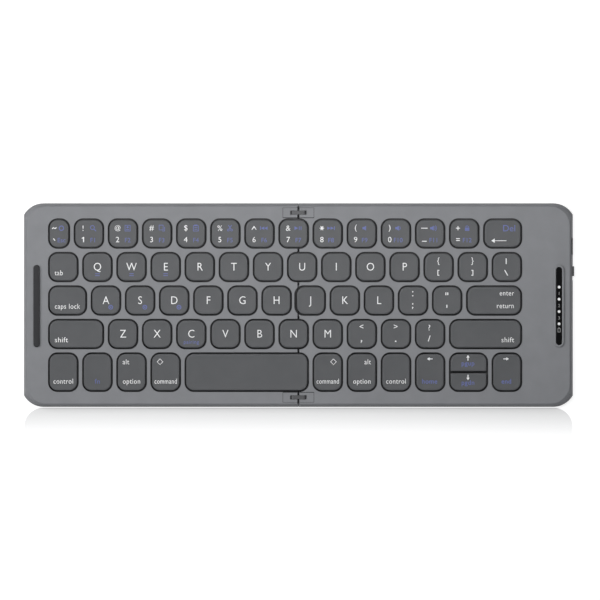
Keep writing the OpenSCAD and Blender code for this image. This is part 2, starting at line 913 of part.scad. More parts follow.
left_top_case();
left_bottom_case();
right_top_case();
right_bottom_case();
feet(LEFT);  // left_feet
feet(RIGHT);  // right_feet
spacer_bar();
window_ring();
indicator_window();
screws(LEFT);  // left_screws
screws(RIGHT);  // right_screws
hinge_brackets(LEFT);  // left_hinge_brackets
hinge_brackets(RIGHT);  // right_hinge_brackets
hinge_pins(LEFT);  // left_hinge_pins
hinge_pins(RIGHT);  // right_hinge_pins
hinge_link(hinge_ys[0]);  // rear_hinge_link
hinge_link(hinge_ys[1]);  // front_hinge_link
support_plate(LEFT);  // left_support_plate
support_plate(RIGHT);  // right_support_plate
membrane(LEFT);  // left_membrane
membrane(RIGHT);  // right_membrane
domes(LEFT);  // left_domes
domes(RIGHT);  // right_domes
scissors(LEFT);  // left_scissors
scissors(RIGHT);  // right_scissors
flex_cable();
main_board();
usb_c_socket();
battery();
switch_body();
power_knob();
magnets(LEFT);  // left_magnets
magnets(RIGHT);  // right_magnets
keys(0, 0, 0);  // backtick_key
keys(0, 1, 7);  // keys_1_to_7
keys(0, 8, 12);  // keys_8_to_equals
keys(0, 13, 13);  // backspace_key
keys(1, 0, 0);  // tab_key
keys(1, 1, 6);  // keys_q_to_y
keys(1, 7, 13);  // keys_u_to_backslash
keys(2, 0, 0);  // caps_lock_key
keys(2, 1, 6);  // keys_a_to_h
keys(2, 7, 11);  // keys_j_to_quote
keys(2, 12, 12);  // enter_key
keys(3, 0, 0);  // left_shift_key
keys(3, 1, 6);  // keys_z_to_n
keys(3, 7, 10);  // keys_m_to_slash
keys(3, 11, 11);  // right_shift_key
keys(FRONT_ROW, 0, 0);  // left_control_key
keys(FRONT_ROW, 1, 1);  // fn_key
keys(FRONT_ROW, 2, 2);  // left_option_key
keys(FRONT_ROW, 3, 3);  // left_command_key
keys(FRONT_ROW, 4, 4);  // space_bar
keys(FRONT_ROW, 5, 5);  // right_command_key
keys(FRONT_ROW, 6, 6);  // right_option_key
keys(FRONT_ROW, 7, 7);  // right_control_key
keys(FRONT_ROW, 8, 8);  // left_arrow_key
arrow_key(1);  // up_arrow_key
arrow_key(-1);  // down_arrow_key
keys(FRONT_ROW, 10, 10);  // right_arrow_key
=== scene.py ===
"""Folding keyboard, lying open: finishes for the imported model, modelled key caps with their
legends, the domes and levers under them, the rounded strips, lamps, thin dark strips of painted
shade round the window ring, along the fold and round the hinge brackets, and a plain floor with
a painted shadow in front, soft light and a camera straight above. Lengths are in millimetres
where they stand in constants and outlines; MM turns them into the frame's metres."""
import json
import math

import bpy
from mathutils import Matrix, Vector

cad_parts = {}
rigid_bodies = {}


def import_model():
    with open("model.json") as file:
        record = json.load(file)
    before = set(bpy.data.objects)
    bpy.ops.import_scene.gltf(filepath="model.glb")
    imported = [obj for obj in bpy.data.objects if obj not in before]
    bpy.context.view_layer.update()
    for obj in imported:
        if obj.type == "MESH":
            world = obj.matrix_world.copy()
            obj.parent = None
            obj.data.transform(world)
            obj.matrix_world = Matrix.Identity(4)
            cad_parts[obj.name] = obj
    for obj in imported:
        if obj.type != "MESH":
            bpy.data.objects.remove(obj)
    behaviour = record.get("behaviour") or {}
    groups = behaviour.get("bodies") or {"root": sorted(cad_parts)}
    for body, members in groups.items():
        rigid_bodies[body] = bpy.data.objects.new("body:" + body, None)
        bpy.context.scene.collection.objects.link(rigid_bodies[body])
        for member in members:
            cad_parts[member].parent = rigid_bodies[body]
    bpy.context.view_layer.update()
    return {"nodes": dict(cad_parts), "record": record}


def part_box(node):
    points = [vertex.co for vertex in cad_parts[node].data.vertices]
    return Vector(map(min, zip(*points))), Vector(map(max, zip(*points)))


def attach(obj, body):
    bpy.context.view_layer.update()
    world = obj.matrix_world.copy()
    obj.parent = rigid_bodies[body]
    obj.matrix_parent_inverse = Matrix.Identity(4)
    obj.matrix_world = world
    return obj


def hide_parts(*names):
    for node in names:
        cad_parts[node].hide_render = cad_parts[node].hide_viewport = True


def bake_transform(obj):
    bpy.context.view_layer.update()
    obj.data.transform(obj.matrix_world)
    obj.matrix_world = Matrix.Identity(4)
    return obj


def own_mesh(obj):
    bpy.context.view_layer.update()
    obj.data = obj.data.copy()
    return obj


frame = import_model()

MM = 0.001
NODES = frame["nodes"]
BEHAVIOUR = frame["record"]["behaviour"]
BODY_OF = {node: body for body, nodes in BEHAVIOUR["bodies"].items() for node in nodes}
JOINTS = {joint["name"]: joint for joint in BEHAVIOUR["joints"]}
PARENT_OF = {joint["child"]: joint["parent"] for joint in JOINTS.values()}


def box_mm(node):
    """Lowest and highest corner of a node."""
    low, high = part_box(node)
    return [c / MM for c in low], [c / MM for c in high]


def middle_and_size(node):
    """Middle of a node's box, and its size."""
    low, high = box_mm(node)
    return [(a + b) / 2 for a, b in zip(low, high)], [b - a for a, b in zip(low, high)]


def new_object(name, data):
    obj = bpy.data.objects.new(name, data)
    bpy.context.scene.collection.objects.link(obj)
    return obj


# ---------------------------------------------------------------- materials

PATCH_MM, PATCH_DETAIL, PATCH_RAMP = 9, 4, (0.3, 0.7)
GRAIN_MM, GRAIN_DETAIL, GRAIN_DEPTH = 0.35, 2, 0.05
ROUGHNESS_SPREAD, LEAST_ROUGHNESS = 0.05, 0.02


def linear(r, g, b):
    """A linear colour from sRGB values of 0 to 255."""
    def one(c):
        c /= 255
        return c / 12.92 if c <= 0.04045 else ((c + 0.055) / 1.055) ** 2.4
    return (one(r), one(g), one(b), 1)


def shade(color, factor):
    return tuple(min(1, c * factor) for c in color[:3]) + (1,)


def node_tree(owner):
    """The nodes and links of a material or a world."""
    owner.use_nodes = True
    return owner.node_tree.nodes, owner.node_tree.links


def map_range(nodes, links, value, from_range, to_range):
    """A node that takes a value from one range to another."""
    node = nodes.new("ShaderNodeMapRange")
    sockets = ("From Min", "From Max", "To Min", "To Max")
    for socket, number in zip(sockets, (*from_range, *to_range)):
        node.inputs[socket].default_value = number
    links.new(value, node.inputs["Value"])
    return node


def surface(name, rgb, roughness, variation=0.04, grain_mm=GRAIN_MM, bump=0.05, **sockets):
    """A moulded or painted surface: slow colour variation, fine grain in bump and roughness."""
    material = bpy.data.materials.new(name)
    nodes, links = node_tree(material)
    shader = nodes["Principled BSDF"]
    where = nodes.new("ShaderNodeTexCoord")

    def noise(size_mm, detail):
        node = nodes.new("ShaderNodeTexNoise")
        node.inputs["Scale"].default_value = 1 / (size_mm * MM)
        node.inputs["Detail"].default_value = detail
        links.new(where.outputs["Object"], node.inputs["Vector"])
        return node

    patches, grain = noise(PATCH_MM, PATCH_DETAIL), noise(grain_mm, GRAIN_DETAIL)
    color = linear(*rgb)
    ramp = nodes.new("ShaderNodeValToRGB")
    factors = (1 - variation, 1 + variation)
    for element, position, factor in zip(ramp.color_ramp.elements, PATCH_RAMP, factors):
        element.position, element.color = position, shade(color, factor)
    links.new(patches.outputs["Fac"], ramp.inputs["Fac"])
    links.new(ramp.outputs["Color"], shader.inputs["Base Color"])
    least = max(LEAST_ROUGHNESS, roughness - ROUGHNESS_SPREAD)
    most = min(1, roughness + ROUGHNESS_SPREAD)
    rough = map_range(nodes, links, grain.outputs["Fac"], (0, 1), (least, most))
    links.new(rough.outputs["Result"], shader.inputs["Roughness"])
    if bump:
        relief = nodes.new("ShaderNodeBump")
        relief.inputs["Strength"].default_value = bump
        relief.inputs["Distance"].default_value = GRAIN_DEPTH * MM
        links.new(grain.outputs["Fac"], relief.inputs["Height"])
        links.new(relief.outputs["Normal"], shader.inputs["Normal"])
    for socket, value in sockets.items():
        shader.inputs[socket.replace("_", " ")].default_value = value
    return material


DECK_GREY = (129, 130, 133)
DECK_PAINT = {"bump": 0.25, "grain_mm": 0.3, "Specular_IOR_Level": 0.25}
SOFT_RUBBER = {"bump": 0.3, "grain_mm": 0.2}

# Each slot's colour in sRGB, its roughness, and what else it has.
FINISHES = {
    "case_top": (DECK_GREY, 0.5, DECK_PAINT),
    "case_bottom": ((92, 93, 96), 0.5, {"bump": 0.25, "grain_mm": 0.3}),
    "foot_rubber": ((44, 44, 45), 0.85, SOFT_RUBBER),
    "screw_steel": ((70, 70, 72), 0.35, {"Metallic": 1}),
    "hinge_bracket": (DECK_GREY, 0.5, DECK_PAINT),
    "hinge_pin_steel": ((84, 84, 87), 0.3, {"bump": 0.03, "Metallic": 1}),
    "hinge_link": ((84, 84, 86), 0.45, {"bump": 0.1, "Specular_IOR_Level": 0.3}),
    "plate_steel": ((60, 60, 62), 0.5, {}),
    "membrane_film": ((62, 62, 64), 0.6, {"variation": 0.1}),
    "dome_rubber": ((205, 205, 200), 0.5, {"bump": 0.1}),
    "scissor_plastic": ((215, 215, 212), 0.4, {}),
    "magnet": ((200, 200, 203), 0.25, {"Metallic": 1}),
    # Spacer bar rubber; its dark colour also paints shade lines on ring, fold and brackets.
    "strip_rubber": ((46, 46, 48), 0.7, {**SOFT_RUBBER, "Specular_IOR_Level": 0.3}),
    "window_gloss": ((12, 12, 13), 0.07, {"bump": 0, "Specular_IOR_Level": 0.12}),
    "flex_film": ((150, 92, 30), 0.35, {"variation": 0.1, "bump": 0.1, "grain_mm": 0.6}),
    "circuit_board": ((28, 92, 60), 0.3, {"variation": 0.1}),
    "socket_steel": ((180, 181, 184), 0.25, {"Metallic": 1}),
    "battery_pouch": ((170, 174, 180), 0.35, {"bump": 0.4, "grain_mm": 1.2, "Metallic": 1}),
    "switch_plastic": ((34, 34, 36), 0.5, {}),
    "knob_plastic": ((60, 60, 62), 0.45, {"bump": 0.2}),
    "key_cap": ((86, 87, 89), 0.45, {"bump": 0.22, "grain_mm": 0.28, "Specular_IOR_Level": 0.25}),
}
MATERIALS = {
    slot: surface(slot, rgb, roughness, **more)
    for slot, (rgb, roughness, more) in FINISHES.items()
}

WHITE, BLUE, GREY = "white", "blue", "grey"
INKS = {
    WHITE: surface("white_ink", (236, 236, 236), 0.5, variation=0.02, bump=0),
    BLUE: surface("blue_ink", (92, 102, 160), 0.5, variation=0.03, bump=0),
    GREY: surface("grey_ink", (150, 150, 150), 0.5, variation=0.03, bump=0),
}

for part in frame["record"]["subparts"]:
    finishes = NODES[part["node"]].data.materials
    finishes.clear()
    finishes.append(MATERIALS[part["material_slot"]])


# ---------------------------------------------------------------- mesh helpers

SMOOTH_ANGLE = 35
CORNER_STEPS, STRIP_STEPS, CIRCLE_STEPS, FILLET_STEPS = 8, 12, 24, 4
CORNERS = ((1, 1, 0), (-1, 1, 90), (-1, -1, 180), (1, -1, 270))
SMALLEST_R = 0.25


def mesh_object(name, verts_mm, faces, material, smooth_angle=SMOOTH_ANGLE):
    mesh = bpy.data.meshes.new(name)
    mesh.from_pydata([tuple(c * MM for c in v) for v in verts_mm], [], faces)
    mesh.validate()
    obj = new_object(name, mesh)
    mesh.materials.append(material)
    mesh.shade_smooth()
    mesh.set_sharp_from_angle(angle=math.radians(smooth_angle))
    return obj


def place(obj, body, slot, *replaced):
    """obj rides on a body and stands for the replaced nodes; slot is not used."""
    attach(obj, body)
    if replaced:
        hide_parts(*replaced)


def arc(cx, cy, r, start, end, steps):
    """Points of an arc, angles in degrees."""
    turns = [math.radians(start + (end - start) * k / steps) for k in range(steps + 1)]
    return [(cx + r * math.cos(a), cy + r * math.sin(a)) for a in turns]


def full_circle(cx, cy, r, steps):
    return arc(cx, cy, r, 0, 360 - 360 / steps, steps - 1)


def rounded_outline(w, d, radii, inset):
    """A rounded rectangle drawn in by inset, with a radius for each corner, counter-clockwise."""
    points = []
    for (sx, sy, start), radius in zip(CORNERS, radii):
        r = max(radius - inset, SMALLEST_R)
        cx, cy = sx * (w / 2 - inset - r), sy * (d / 2 - inset - r)
        points += arc(cx, cy, r, start, start + 90, CORNER_STEPS)
    return points


def stadium_outline(w, length, inset):
    """A strip along y with round ends, drawn in by inset, counter-clockwise."""
    r, y = w / 2 - inset, (length - w) / 2
    return arc(0, y, r, 0, 180, STRIP_STEPS) + arc(0, -y, r, 180, 360, STRIP_STEPS)


def rounding(radius):
    """How far in and how far down a rounded edge lies, in steps from its side to its top."""
    turns = [math.radians(90 * k / FILLET_STEPS) for k in range(FILLET_STEPS + 1)]
    return [(radius * (1 - math.cos(a)), radius * (1 - math.sin(a))) for a in turns]


def loft(rings, closed=False):
    """Vertices and faces of a solid through rings of as many points each, [(x, y, z), ...].
    It ends in two flat faces, or, if closed, runs from the last ring back to the first."""
    count = len(rings[0])
    verts = [point for ring in rings for point in ring]
    faces = []
    for k in range(len(rings) if closed else len(rings) - 1):
        near, far = k * count, (k + 1) % len(rings) * count
        for i in range(count):
            j = (i + 1) % count
            faces.append((near + i, near + j, far + j, far + i))
    if not closed:
        faces.append(tuple(reversed(range(count))))
        faces.append(tuple(far + i for i in range(count)))
    return verts, faces


def box_solid(xs, ys, zs):
    """A box between two corners, given in either order."""
    (x0, x1), (y0, y1) = sorted(xs), sorted(ys)
    outline = ((x0, y0), (x1, y0), (x1, y1), (x0, y1))
    return loft([[(x, y, z) for x, y in outline] for z in zs])


class Solids:
    """Collects the vertices and faces of several solids for one object."""

    def __init__(self):
        self.verts, self.faces = [], []

    def add(self, verts, faces, dx=0, dy=0):
        base = len(self.verts)
        self.verts += [(x + dx, y + dy, z) for x, y, z in verts]
        self.faces += [tuple(base + i for i in face) for face in faces]
        return self

    def build(self, name, material, smooth_angle=SMOOTH_ANGLE):
        return mesh_object(name, self.verts, self.faces, material, smooth_angle)


# ---------------------------------------------------------------- key caps

CAP_R, ARROW_INNER_R = 4.1, 0.6
CAP_RADII = {
    "up_arrow_key": (CAP_R, CAP_R, ARROW_INNER_R, ARROW_INNER_R),
    "down_arrow_key": (ARROW_INNER_R, ARROW_INNER_R, CAP_R, CAP_R),
}
CAP_SMOOTH_ANGLE = 40
FILLET, FOOT_CHAMFER = 0.4, 0.1
SKIRT, TOP_T = 1.0, 1.25
LEAST_HALF_W = 0.6
CAP_W = middle_and_size("tab_key")[1][0]
CAP_Z, CAP_TOP = (corner[2] for corner in box_mm("tab_key"))

# The dished top: rings at these distances from the side, and how deep each lies below the rim.
DISH, DISH_INSETS = 0.16, (FILLET, 1.2, 2.2, 3.4, 4.8)
DISH_RINGS = [
    (inset, DISH * (1 - (1 - (inset - FILLET) / (DISH_INSETS[-1] - FILLET)) ** 2))
    for inset in DISH_INSETS
]


def dish_depth(inset):
    """How far the top lies below its rim at a distance from the side, straight between rings."""
    if inset <= FILLET:
        return 0
    for (near, near_depth), (far, far_depth) in zip(DISH_RINGS, DISH_RINGS[1:]):
        if inset <= far:
            return near_depth + (inset - near) / (far - near) * (far_depth - near_depth)
    return DISH_RINGS[-1][1]


class Cap:
    """One key cap: its middle, width and depth, and its corner radii in the order of CORNERS."""

    def __init__(self, x, y, w, d, radii):
        self.x, self.y, self.w, self.d, self.radii = x, y, w, d, radii

    def top_at(self, x, y):
        """Height of the dished top at a point given from the cap's middle."""
        radius = self.radii[(0 if x >= 0 else 1) if y >= 0 else (3 if x >= 0 else 2)]
        across, along = self.w / 2 - abs(x), self.d / 2 - abs(y)
        inset = min(across, along)
        if across < radius and along < radius:
            inset = radius - math.hypot(radius - across, radius - along)
        return CAP_TOP - dish_depth(inset)

    def solid(self):
        """Skirt, rounded rim and dished top, hollow underneath."""
        def ring(inset, z):
            return [(x, y, z) for x, y in rounded_outline(self.w, self.d, self.radii, inset)]

        rings = [ring(SKIRT, CAP_TOP - TOP_T), ring(SKIRT, CAP_Z)]
        rings += [ring(FOOT_CHAMFER, CAP_Z), ring(0, CAP_Z + FOOT_CHAMFER)]
        rings += [ring(inset, CAP_TOP - drop) for inset, drop in rounding(FILLET)]
        widest = min(self.w, self.d) / 2 - LEAST_HALF_W
        rings += [ring(inset, CAP_TOP - depth) for inset, depth in DISH_RINGS[1:] if inset < widest]
        return loft(rings)


# ---------------------------------------------------------------- shapes of the legends

INK_T = 0.02
TEXT_CURVE_STEPS = 3
WORD_SPACING = 1.08


def measure_font():
    """Height of a capital letter at font size 1."""
    curve = bpy.data.curves.new("measure", "FONT")
    curve.body = "H"
    obj = new_object("measure", curve)
    bpy.context.view_layer.update()
    height = obj.dimensions.y
    bpy.data.objects.remove(obj)
    bpy.data.curves.remove(curve)
    return height


CAPITAL = measure_font()


def text_solid(body, height, align="CENTER", squeeze=1.0, bold=0.0):
    """Vertices and faces of a text with its capitals' height, its foot at y = 0; z is -1 or 1."""
    curve = bpy.data.curves.new("text", "FONT")
    curve.body, curve.align_x = body, align
    curve.size = height / CAPITAL
    curve.space_character = WORD_SPACING if len(body) > 1 and body.islower() else 1
    curve.extrude, curve.offset = 1, bold * curve.size
    curve.resolution_u = TEXT_CURVE_STEPS
    obj = new_object("text", curve)
    bpy.context.view_layer.update()
    mesh = obj.to_mesh()
    verts = [(v.co.x * squeeze, v.co.y, 1 if v.co.z > 0 else -1) for v in mesh.vertices]
    faces = [tuple(f.vertices) for f in mesh.polygons]
    obj.to_mesh_clear()
    bpy.data.objects.remove(obj)
    bpy.data.curves.remove(curve)
    return verts, faces


def plate(points):
    """A flat shape from its outline, counter-clockwise."""
    return loft([[(x, y, z) for x, y in points] for z in (-1, 1)])


def strokes(width, *paths):
    """Straight strokes along each path, each stroke with square ends."""
    shapes = []
    for path in paths:
        for (x0, y0), (x1, y1) in zip(path, path[1:]):
            long = Vector((x1 - x0, y1 - y0)).normalized() * width / 2
            side = Vector((-long.y, long.x))
            a, b = Vector((x0, y0)) - long, Vector((x1, y1)) + long
            corners = (a - side, b - side, b + side, a + side)
            shapes.append(plate([tuple(corner) for corner in corners]))
    return shapes


def disc(x, y, r, steps=20):
    return [plate(full_circle(x, y, r, steps))]


def hoop(x, y, r, width, start=0, end=360, steps=20):
    """A ring, or a stretch of one, as one flat solid."""
    outer = arc(x, y, r + width / 2, start, end, steps)
    inner = arc(x, y, r - width / 2, start, end, steps)
    if end - start < 360:
        return [plate(outer + inner[::-1])]
    rings = [(outer, -1), (outer, 1), (inner, 1), (inner, -1)]
    return [loft([[(px, py, z) for px, py in points[:-1]] for points, z in rings], closed=True)]


def frame_box(x, y, w, h, line=0.3):
    """The outline of a rectangle, drawn with four strokes."""
    l, r, b, t = x - w / 2, x + w / 2, y - h / 2, y + h / 2
    flat = [(l + line, b), (r - line, b)], [(l + line, t), (r - line, t)]
    return strokes(line, *flat, [(l, b), (l, t)], [(r, b), (r, t)])


def triangle(x, size, way):
    """A filled triangle that points left (-1) or right (1)."""
    back = x - way * size / 2
    points = [(back, -size / 2), (x + way * size / 2, 0), (back, size / 2)]
    return [plate(points if way > 0 else points[::-1])]


def speaker(x, waves):
    """A loudspeaker, with waves to its right."""
    shapes = [plate([(x - 1.3, -0.6), (x - 0.5, -0.6), (x + 0.6, -1.3),
                     (x + 0.6, 1.3), (x - 0.5, 0.6), (x - 1.3, 0.6)])]
    for k in range(waves):
        shapes += hoop(x + 0.2, 0, 1.1 + 0.7 * k, 0.34, -50, 50, 8)
    return shapes


def upright_arrow(length, way):
    """An arrow along y with a filled head."""
    half = length / 2
    head = [(-0.85, way * (half - 1.4)), (0.85, way * (half - 1.4)), (0, way * half)]
    shaft = strokes(0.5, [(0, -way * half), (0, way * (half - 1.5))])
    return shaft + [plate(head if way > 0 else head[::-1])]


def level_arrow(length, way, line, head):
    """An arrow along x with a filled head."""
    half = length / 2
    neck = way * (half - head)
    tip = [(neck, -0.65 * head), (way * half, 0), (neck, 0.65 * head)]
    shaft = strokes(line, [(-way * half, 0), (way * (half - head - 0.1), 0)])
    return shaft + [plate(tip if way > 0 else tip[::-1])]


ICONS = {
    "ring": hoop(0, 0, 1.15, 0.5),
    "search": hoop(-0.35, 0.35, 1.05, 0.35) + strokes(0.4, [(0.55, -0.55), (1.45, -1.45)]),
    "select": frame_box(0, 0, 2.7, 3) + disc(0, 0.5, 0.55)
    + strokes(0.4, [(-0.6, -0.8), (0.6, -0.8)]),
    "copy": frame_box(-0.3, 0.35, 2.1, 2.5) + strokes(0.3, [(0.5, -1.5), (1.5, -1.5), (1.5, 0.6)]),
    "paste": frame_box(0, -0.1, 2.6, 2.8) + strokes(0.5, [(-0.6, 1.6), (0.6, 1.6)])
    + strokes(0.3, [(-0.6, 0.3), (0.6, 0.3)], [(-0.6, -0.6), (0.6, -0.6)]),
    "cut": strokes(0.35, [(-0.8, 1.5), (0.55, -0.5)], [(0.8, 1.5), (-0.55, -0.5)])
    + hoop(-0.85, -1, 0.5, 0.32, steps=12) + hoop(0.85, -1, 0.5, 0.32, steps=12),
    "back": strokes(0.4, [(-1.9, -0.75), (-1.9, 0.75)])
    + triangle(-0.75, 1.7, -1) + triangle(0.95, 1.7, -1),
    "play": triangle(-1, 1.9, 1)
    + strokes(0.4, [(0.6, -0.75), (0.6, 0.75)], [(1.5, -0.75), (1.5, 0.75)]),
    "forward": triangle(-1.1, 1.7, 1) + triangle(0.6, 1.7, 1)
    + strokes(0.4, [(1.8, -0.75), (1.8, 0.75)]),
    "mute": speaker(0.2, 0),
    "quiet": speaker(-0.2, 1),
    "loud": speaker(-0.6, 2),
    "lock": [plate([(-1.15, -1.4), (1.15, -1.4), (1.15, 0.3), (-1.15, 0.3)])]
    + hoop(0, 0.45, 0.75, 0.35, 0, 180, 10),
    "dot": hoop(0, 0, 1.0, 0.45) + disc(0, 0, 0.4, 12),
    "bars": strokes(0.35, [(-1, 0.5), (1, 0.5)], [(-1, -0.5), (1, -0.5)]),
    "diamond": strokes(0.25, [(-1.5, 0), (0, 1.5), (1.5, 0), (0, -1.5), (-1.5, 0)]),
    "colon": disc(0, 1.05, 0.34) + disc(0, -1.05, 0.34),
    "semicolon": disc(0, 1.05, 0.34) + disc(0, -0.85, 0.34)
    + strokes(0.3, [(0.1, -0.95), (-0.15, -1.5)]),
    "comma": disc(0, 0.25, 0.38) + strokes(0.34, [(0.12, 0.15), (-0.2, -0.6)]),
    "period": disc(0, 0, 0.38),
    "dash": strokes(0.42, [(-1.5, 0), (1.5, 0)]),
    "short_dash": strokes(0.42, [(-1, 0), (1, 0)]),
    "long_left": level_arrow(7.8, -1, line=0.35, head=1.8),
    "tilde": strokes(0.45, [(-1, -0.2), (-0.5, 0.2), (0.45, -0.2), (1, 0.2)]),
    "grave": strokes(0.5, [(-0.3, 0.35), (0.3, -0.35)]),
    "one": strokes(0.5, [(0.3, -1.15), (0.3, 1.15)]) + strokes(0.45, [(0.2, 1.1), (-0.45, 0.7)]),
    "caret": strokes(0.45, [(-1, -0.6), (0, 0.85), (1, -0.6)]),
    "asterisk": strokes(0.45, [(-0.95, 0), (0.95, 0)], [(-0.48, -0.83), (0.48, 0.83)],
                        [(-0.48, 0.83), (0.48, -0.83)]),
    "plus": strokes(0.45, [(-0.85, 0), (0.85, 0)], [(0, -0.85), (0, 0.85)]),
    "equals": strokes(0.4, [(-0.8, 0.5), (0.8, 0.5)], [(-0.8, -0.5), (0.8, -0.5)]),
    "bar": strokes(0.5, [(0, -1.25), (0, 1.25)]),
    "backslash": strokes(0.45, [(-0.7, 1.25), (0.7, -1.25)]),
    "slash": strokes(0.42, [(0.45, 1.35), (-0.45, -1.35)]),
    "double_quote": strokes(0.5, [(-0.5, -0.45), (-0.5, 0.45)], [(0.5, -0.45), (0.5, 0.45)]),
    "quote": strokes(0.55, [(0, -0.5), (0, 0.5)]),
    "bracket_left": strokes(0.42, [(0.35, 1.3), (-0.25, 1.3), (-0.25, -1.3), (0.35, -1.3)]),
    "bracket_right": strokes(0.42, [(-0.35, 1.3), (0.25, 1.3), (0.25, -1.3), (-0.35, -1.3)]),
    "left": level_arrow(2.7, -1, line=0.5, head=1.35),
    "right": level_arrow(2.7, 1, line=0.5, head=1.35),
    "up": upright_arrow(2.7, 1),
    "down": upright_arrow(2.7, -1),
}


# ---------------------------------------------------------------- what the caps say

# Heights of the capitals, by the kind of legend.
LETTER_H, SIGN_H, PAIR_H, WORD_H, ARROW_NAME_H, F_KEY_H, UNDER_H = 4.1, 2.8, 2.9, 2.6, 2.4, 2.3, 1.9
# Widths as a share of the font's own.
LETTER_SQUEEZE, WORD_SQUEEZE, LONG_WORD_SQUEEZE, ARROW_NAME_SQUEEZE = 0.9, 0.87, 0.75, 0.97
# How far the edges of the strokes are moved out, in font sizes.
LIGHT, PLAIN, HEAVY = -0.006, 0.0, 0.01

# Places from the cap's middle.
LETTER_Y, PAIR_UPPER_Y, PAIR_LOWER_Y, PAIR_X, ARROW_X = 0.2, 3.1, -3, -0.2, -0.3
WORD_Y, NAME_Y, FRONT_Y = -3, -4.75, -4.8
# Places of the number row's marks, from the cap's left and rear edges.
NUMBER_X, BLUE_X, UPPER_Y, LOWER_Y, F_KEY_DROP = 4.3, 9.6, 4.3, 10.3, 0.3
# Distances from the side and rear edges: a word's end, and the middle of a modifier's small mark.
WORD_INSET, WIDE_WORD_INSET, SMALL_INSET, SMALL_REAR = 2.6, 3.4, 4.2, 4.1


def mark(what, x, y, color=WHITE, height=SIGN_H, align="CENTER", squeeze=1.0, bold=PLAIN):
    """One legend, with its middle, or by align its left or right end, at x, y from the middle."""
    return {"what": what, "x": x, "y": y, "color": color, "height": height, "align": align,
            "squeeze": squeeze, "bold": bold}


def letters(chars, *others):
    """Keys with one letter each, and the same other marks beside it."""
    def key(char):
        main = mark(char, 0, LETTER_Y, height=LETTER_H, squeeze=LETTER_SQUEEZE, bold=LIGHT)
        return lambda cap: [main, *others]
    return [key(char) for char in chars]


def under(what, x, y):
    """A small blue legend under a letter."""
    return mark(what, x, y, BLUE, UNDER_H)


def number(upper, lower, icon, f_key, dx=0.0, blue_dx=0.0, lower_dy=0.0, upper_h=SIGN_H):
    """Four marks in two columns: white sign over digit, blue icon over function name."""
    def legends(cap):
        left, rear = -cap.w / 2 + dx, cap.d / 2
        return [
            mark(upper, left + NUMBER_X, rear - UPPER_Y, height=upper_h),
            mark(lower, left + NUMBER_X, rear - LOWER_Y + lower_dy),
            mark(icon, left + BLUE_X + blue_dx, rear - UPPER_Y, BLUE),
            mark(f_key, left + BLUE_X + blue_dx, rear - LOWER_Y - F_KEY_DROP, BLUE, F_KEY_H),
        ]
    return legends


def pair(upper, lower, x=PAIR_X, upper_dy=0.0, lower_dy=0.0):
    """Two signs, one over the other."""
    marks = [
        mark(upper, x, PAIR_UPPER_Y + upper_dy, height=PAIR_H),
        mark(lower, x, PAIR_LOWER_Y + lower_dy, height=PAIR_H),
    ]
    return lambda cap: marks


def words(*lines, side=-1, squeeze=WORD_SQUEEZE, inset=WORD_INSET):
    """White words that end at the cap's left (-1) or right (1), each with its y."""
    align = "LEFT" if side < 0 else "RIGHT"
    return lambda cap: [
        mark(what, side * (cap.w / 2 - inset), y, height=WORD_H, align=align, squeeze=squeeze)
        for what, y in lines
    ]


def modifier(name, small=None, side=0, squeeze=WORD_SQUEEZE):
    """A front-row key: its name near the front edge, a small mark near a rear corner."""
    def legends(cap):
        marks = [mark(name, 0, NAME_Y, height=WORD_H, squeeze=squeeze)]
        if small:
            x, y = side * (cap.w / 2 - SMALL_INSET), cap.d / 2 - SMALL_REAR
            marks.append(mark(small, x, y, height=WORD_H, squeeze=WORD_SQUEEZE))
        return marks
    return legends


def arrow(way, name, arrow_y, name_y):
    """A white arrow over a blue name."""
    marks = [
        mark(way, ARROW_X, arrow_y),
        mark(name, ARROW_X, name_y, BLUE, ARROW_NAME_H, squeeze=ARROW_NAME_SQUEEZE, bold=HEAVY),
    ]
    return lambda cap: marks


def backspace(cap):
    """A long arrow, and a blue word over it."""
    return [
        mark("long_left", -2.1, cap.d / 2 - LOWER_Y - 0.6),
        mark("Del", 3.4, cap.d / 2 - UPPER_Y, BLUE, 3.3),
    ]


